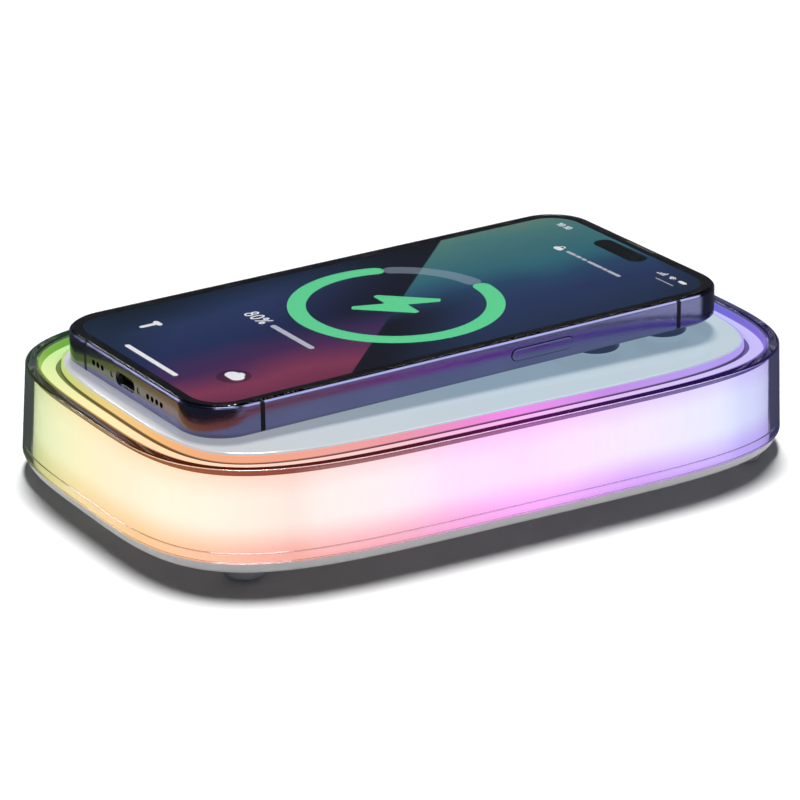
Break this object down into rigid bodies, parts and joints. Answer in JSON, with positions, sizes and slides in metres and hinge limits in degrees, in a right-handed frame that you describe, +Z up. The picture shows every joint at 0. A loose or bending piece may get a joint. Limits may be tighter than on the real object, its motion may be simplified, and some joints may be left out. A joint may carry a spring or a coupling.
{
  "type": "wireless charging light with smartphone",
  "caption": "Rounded light-up wireless charging pad with a clear shell over a glowing diffuser, and a flat-sided smartphone lying screen up on its plate.",
  "frame": {"origin": "middle of the footprint on the table, under the pad", "axes": "+X along the long side towards the phone's camera end, +Y to the pad's rear panel, +Z up"},
  "size_m": [0.1766, 0.1134, 0.0393],
  "materials": {
    "base_white": "moulded white plastic, semi-gloss",
    "foot_rubber": "grey silicone rubber",
    "screw_steel": "dark zinc-plated steel",
    "clear_acrylic": "clear moulded acrylic",
    "milky_light": "milky light-diffusing plastic, lit from inside",
    "dark_seal": "dark gloss silicone seal",
    "ring_light": "milky light-guide ring, lit from inside",
    "plate_white": "glossy white plate",
    "inner_white": "matt white moulding",
    "ferrite": "sintered ferrite",
    "copper": "enamelled copper wire",
    "magnet": "nickel-plated magnet",
    "board_white": "white solder mask",
    "emitter": "light-emitter package with phosphor",
    "board_green": "green solder mask",
    "component": "black moulded component",
    "socket_metal": "nickel-plated steel",
    "socket_black": "black plastic",
    "frame_steel": "polished dark violet steel",
    "antenna": "dark violet plastic",
    "screen_glass": "black-bordered cover glass over a lit screen",
    "mesh_black": "fine black mesh",
    "gasket": "black foam seal",
    "display": "lit display",
    "camera_black": "black camera part",
    "back_glass": "satin dark violet glass",
    "plateau_glass": "gloss dark violet glass",
    "lens_metal": "polished dark violet ring",
    "lens_black": "dark lens cover",
    "flash": "flash window",
    "battery_wrap": "black battery wrap",
    "board_blue": "dark blue solder mask",
    "motor_metal": "stamped steel can",
    "button_white": "white gloss plastic"
  },
  "bodies": {
    "pad": {"base_tray": "base_white", "foot_1": "foot_rubber", "foot_2": "foot_rubber", "foot_3": "foot_rubber", "foot_4": "foot_rubber", "base_screws": "screw_steel", "clear_shell": "clear_acrylic", "diffuser": "milky_light", "seal_ring": "dark_seal", "light_ring": "ring_light", "charging_plate": "plate_white", "coil_carrier": "inner_white", "ferrite_disc": "ferrite", "transmit_coil": "copper", "pad_magnets": "magnet", "led_board": "board_white", "light_emitters": "emitter", "main_board": "board_green", "board_parts": "component", "rear_panel": "base_white", "pad_socket": "socket_metal", "pad_socket_tongue": "socket_black", "light_switch": "component"},
    "phone": {"phone_frame": "frame_steel", "antenna_inserts": "antenna", "front_glass": "screen_glass", "earpiece_mesh": "mesh_black", "screen_gasket": "gasket", "display_panel": "display", "front_camera": "camera_black", "back_glass": "back_glass", "camera_plateau": "plateau_glass", "lens_ring_1": "lens_metal", "lens_ring_2": "lens_metal", "lens_ring_3": "lens_metal", "lens_glass_1": "lens_black", "lens_glass_2": "lens_black", "lens_glass_3": "lens_black", "flash_window": "flash", "camera_module": "camera_black", "receive_coil": "copper", "phone_magnets": "magnet", "battery": "battery_wrap", "logic_board": "board_blue", "loudspeaker": "component", "vibration_motor": "motor_metal", "phone_socket": "socket_metal", "phone_socket_tongue": "socket_black", "phone_screws": "lens_metal"},
    "light_button": {"light_button": "button_white"},
    "side_button": {"side_button": "frame_steel"},
    "volume_up": {"volume_up": "frame_steel"},
    "volume_down": {"volume_down": "frame_steel"},
    "silent_switch": {"silent_switch": "lens_metal"},
    "sim_tray": {"sim_tray": "lens_metal"}
  },
  "joints": [
    {"name": "phone_lift", "type": "slide", "parent": "pad", "child": "phone", "axis": [0, 0, 1], "range_m": [0, 0.08]},
    {"name": "light_button_press", "type": "slide", "parent": "pad", "child": "light_button", "axis": [0, -1, 0], "range_m": [0, 0.0004], "stiffness_N_per_m": 3000},
    {"name": "side_button_press", "type": "slide", "parent": "phone", "child": "side_button", "axis": [-0.0115, 0.9999, 0], "range_m": [0, 0.00025], "stiffness_N_per_m": 6000},
    {"name": "volume_up_press", "type": "slide", "parent": "phone", "child": "volume_up", "axis": [0.0115, -0.9999, 0], "range_m": [0, 0.00025], "stiffness_N_per_m": 6000},
    {"name": "volume_down_press", "type": "slide", "parent": "phone", "child": "volume_down", "axis": [0.0115, -0.9999, 0], "range_m": [0, 0.00025], "stiffness_N_per_m": 6000},
    {"name": "silent_switch_slide", "type": "slide", "parent": "phone", "child": "silent_switch", "axis": [-0.0253, -0.0003, 0.9997], "range_m": [0, 0.0012]},
    {"name": "sim_tray_slide", "type": "slide", "parent": "phone", "child": "sim_tray", "axis": [-0.0115, 0.9999, 0], "range_m": [0, 0.0165]}
  ]
}
